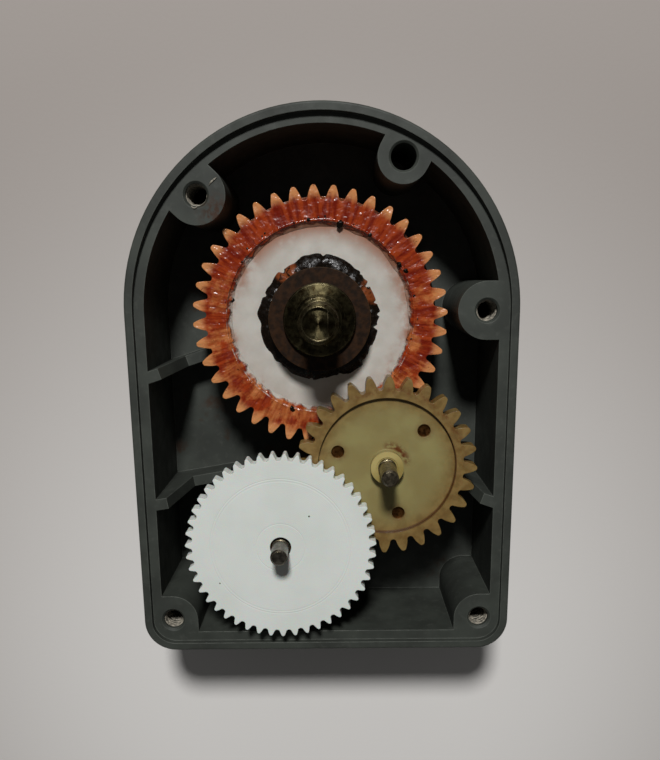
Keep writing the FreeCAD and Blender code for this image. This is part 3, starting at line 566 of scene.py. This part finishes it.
def cut_thread(name, hole, material):
    """The torn ridge that a screw leaves down the upper part of its hole."""
    x, y, middle = hole["pos_m"]
    wall = hole["dims"]["r_mm"] + 0.15
    top = middle + hole["dims"]["length_mm"] * MM / 2
    pitch, turns, steps_per_turn = 1.7, 9, 40
    start, half_width = 0.5, 0.52
    steps = turns * steps_per_turn

    def section(i):
        turn = i / steps_per_turn
        angle = math.tau * turn
        across = Vector((math.cos(angle), math.sin(angle), 0.0))
        tear = noise.noise(Vector((across.x, across.y, turn * 0.7)) * 2.4 + Vector((x, y, 0.0)) / MM)
        taper = min(1.0, 4.0 * min(i, steps - i) / steps_per_turn + 0.1)
        depth = max(0.62 + 0.45 * tear, 0.12) * taper
        level = Vector((x, y, top - (start + pitch * turn) * MM))
        outline = [(wall, half_width), (wall - depth * 0.7, 0.22 + 0.12 * tear), (wall - depth, -0.05),
                   (wall - depth * 0.75, -0.25), (wall, -half_width)]
        return [level + (across * radius + Vector((0.0, 0.0, height))) * MM for radius, height in outline]
    return add_piece(name, *capped_sweep([section(i) for i in range(steps + 1)]), material, "case",
                     "case_plastic")


def shaving(name, start, headings, width, material):
    """A thin curl of plastic that follows a few short headings, in degrees, from its start."""
    thickness, step = 0.12, 0.5
    spot = start.copy()
    sections = []
    for number, (degrees, rise) in enumerate(headings):
        along = Vector((math.cos(math.radians(degrees)), math.sin(math.radians(degrees)), 0.0))
        across = Vector((-along.y, along.x, 0.0))
        ends = min(number, len(headings) - 1 - number)
        half = width * MM * min(1.0, 0.25 + 0.4 * ends) / 2
        up = Vector((0.0, 0.0, thickness * MM))
        sections.append([spot - across * half, spot + across * half, spot + across * half + up,
                         spot - across * half + up])
        spot = spot + along * step * MM + Vector((0.0, 0.0, rise * MM))
    return add_piece(name, *capped_sweep(sections), material, "case", "case_plastic")


# ---------------------------------------------------------------- dressing the model

def dress(node, material):
    for slot in frame["nodes"][node].material_slots:
        slot.material = material


def dress_nodes():
    output, middle, input_axis = AXES["output"], AXES["intermediate"], AXES["input"]
    dark_steel = oily_steel("shaft_steel", output, tone(60, 55, 38), tone(98, 90, 64),
                            film=0.85, drawn_out=0.8)
    middle_pin = oily_steel("intermediate_pin_steel", middle, tone(104, 95, 78), tone(136, 127, 108),
                            film=0.5, drawn_out=0.1)
    input_pin = oily_steel("input_pin_steel", input_axis, tone(92, 87, 78), tone(124, 118, 108),
                           film=0.4, drawn_out=0.1)
    drive_pin = oily_steel("drive_pin_steel", middle, tone(98, 64, 34), tone(128, 88, 48),
                           film=0.9, drawn_out=0.1)
    nylon, acetal, metal = aged_nylon(), white_acetal(), bronze()
    finishes = {
        "gear_case": case_plastic(),
        "output_gear": stained_nylon("stained_nylon", 30.6),
        "output_thrust_disc": grease_soaked_disc(),
        "intermediate_gear": nylon,
        "input_gear": acetal,
        "input_spacer": nylon,
        "output_bush": metal,
        "intermediate_bush": metal,
        "input_bush": metal,
        "intermediate_axle": middle_pin,
        "intermediate_spacer": middle_pin,
        "intermediate_pinion": middle_pin,
        "intermediate_drive_pins": drive_pin,
        "input_axle": input_pin,
        "input_pinion": input_pin,
    }
    for node in frame["nodes"]:
        dress(node, finishes.get(node, dark_steel))


def add_small_pieces():
    grease = black_grease()
    grease_ring(grease)
    rim_film(stained_nylon("rim_film", 30.0))
    mouth_grease(frame["nodes"]["intermediate_gear"].material_slots[0].material)
    grease_crumbs(grease)
    torn = screw_thread_plastic()
    for hole in frame["record"]["mounts"]:
        if hole["kind"] == "threaded_hole":
            cut_thread("thread_" + hole["name"], hole, torn)
    upper_left = mount("cover_screw_upper_left")
    boss = Vector(upper_left["pos_m"])
    boss.z += (upper_left["dims"]["length_mm"] / 2 + 0.75) * MM
    long_headings = [(58, 0.03), (52, 0.05), (46, 0.05), (38, 0.02), (35, 0.0), (36, 0.0), (40, 0.0),
                     (48, 0.0)]
    shaving("shaving_long", boss + Vector((4.2, 2.6, 0.0)) * MM, long_headings, 0.5, torn)
    curl_headings = [(-60, 0.02), (-40, 0.05), (-10, 0.08), (25, 0.05), (60, 0.0), (95, -0.02)]
    shaving("shaving_curl", boss + Vector((-1.6, -3.2, 0.0)) * MM, curl_headings, 0.45, torn)


# ---------------------------------------------------------------- floor, light and camera

def add_floor():
    s = Shader("pale_floor")
    # Painted light: the floor is painted paler towards a spot in front of the case and darker further off, a pool
    # of light in its colour.
    middle = s.vector("DISTANCE", s.vector("MULTIPLY", s.place, (1.0, 1.0, 0.0)), (0.0, -140.0, 0.0))
    painted_light_pool = s.spread(middle, 50.0, 270.0, 1.0, 0.0)
    colour = s.mix(painted_light_pool, tone(172, 164, 158), tone(240, 237, 233))
    material = s.finish(colour, 0.7, s.bump(s.noise(1.5, 3.0), 0.02))
    half_side = 3.0
    mesh = bpy.data.meshes.new("floor")
    corners = [(-half_side, -half_side, 0), (half_side, -half_side, 0), (half_side, half_side, 0),
               (-half_side, half_side, 0)]
    mesh.from_pydata(corners, [], [(0, 1, 2, 3)])
    mesh.materials.append(material)
    floor = bpy.data.objects.new("floor", mesh)
    bpy.context.scene.collection.objects.link(floor)


def add_light(name, place, size, power):
    lamp = bpy.data.lights.new(name, "AREA")
    lamp.shape = "DISK"
    lamp.size = size
    lamp.energy = power
    light = bpy.data.objects.new(name, lamp)
    light.location = place
    light.rotation_euler = (-Vector(place)).to_track_quat("-Z", "Y").to_euler()
    bpy.context.scene.collection.objects.link(light)


def add_world():
    world = bpy.data.worlds.new("studio")
    world.use_nodes = True
    background = world.node_tree.nodes["Background"]
    background.inputs["Color"].default_value = (1.0, 1.0, 1.0, 1.0)
    background.inputs["Strength"].default_value = 0.06
    bpy.context.scene.world = world


def add_camera():
    """A hand-held camera straight over the open case, a little towards its round end."""
    data = bpy.data.cameras.new("camera")
    data.sensor_fit = "HORIZONTAL"
    data.sensor_width = 36.0
    data.lens = 44.5
    data.shift_y = 0.136
    camera = bpy.data.objects.new("camera", data)
    place = Vector((4.1, 38.2, 309.3)) * MM
    turn, lean_sideways, lean_back = (math.radians(angle) for angle in (0.55, -0.43, 13.43))
    tilt = (Matrix.Rotation(turn, 3, "Z") @ Matrix.Rotation(lean_sideways, 3, "Y")
            @ Matrix.Rotation(lean_back, 3, "X"))
    camera.matrix_world = Matrix.Translation(place) @ tilt.transposed().to_4x4()
    bpy.context.scene.collection.objects.link(camera)
    bpy.context.scene.camera = camera


dress_nodes()
add_small_pieces()
add_floor()
add_world()
add_light("key", (-0.05, 0.96, 1.28), 0.25, 20.5)
add_camera()
bpy.context.scene.view_settings.view_transform = "Standard"
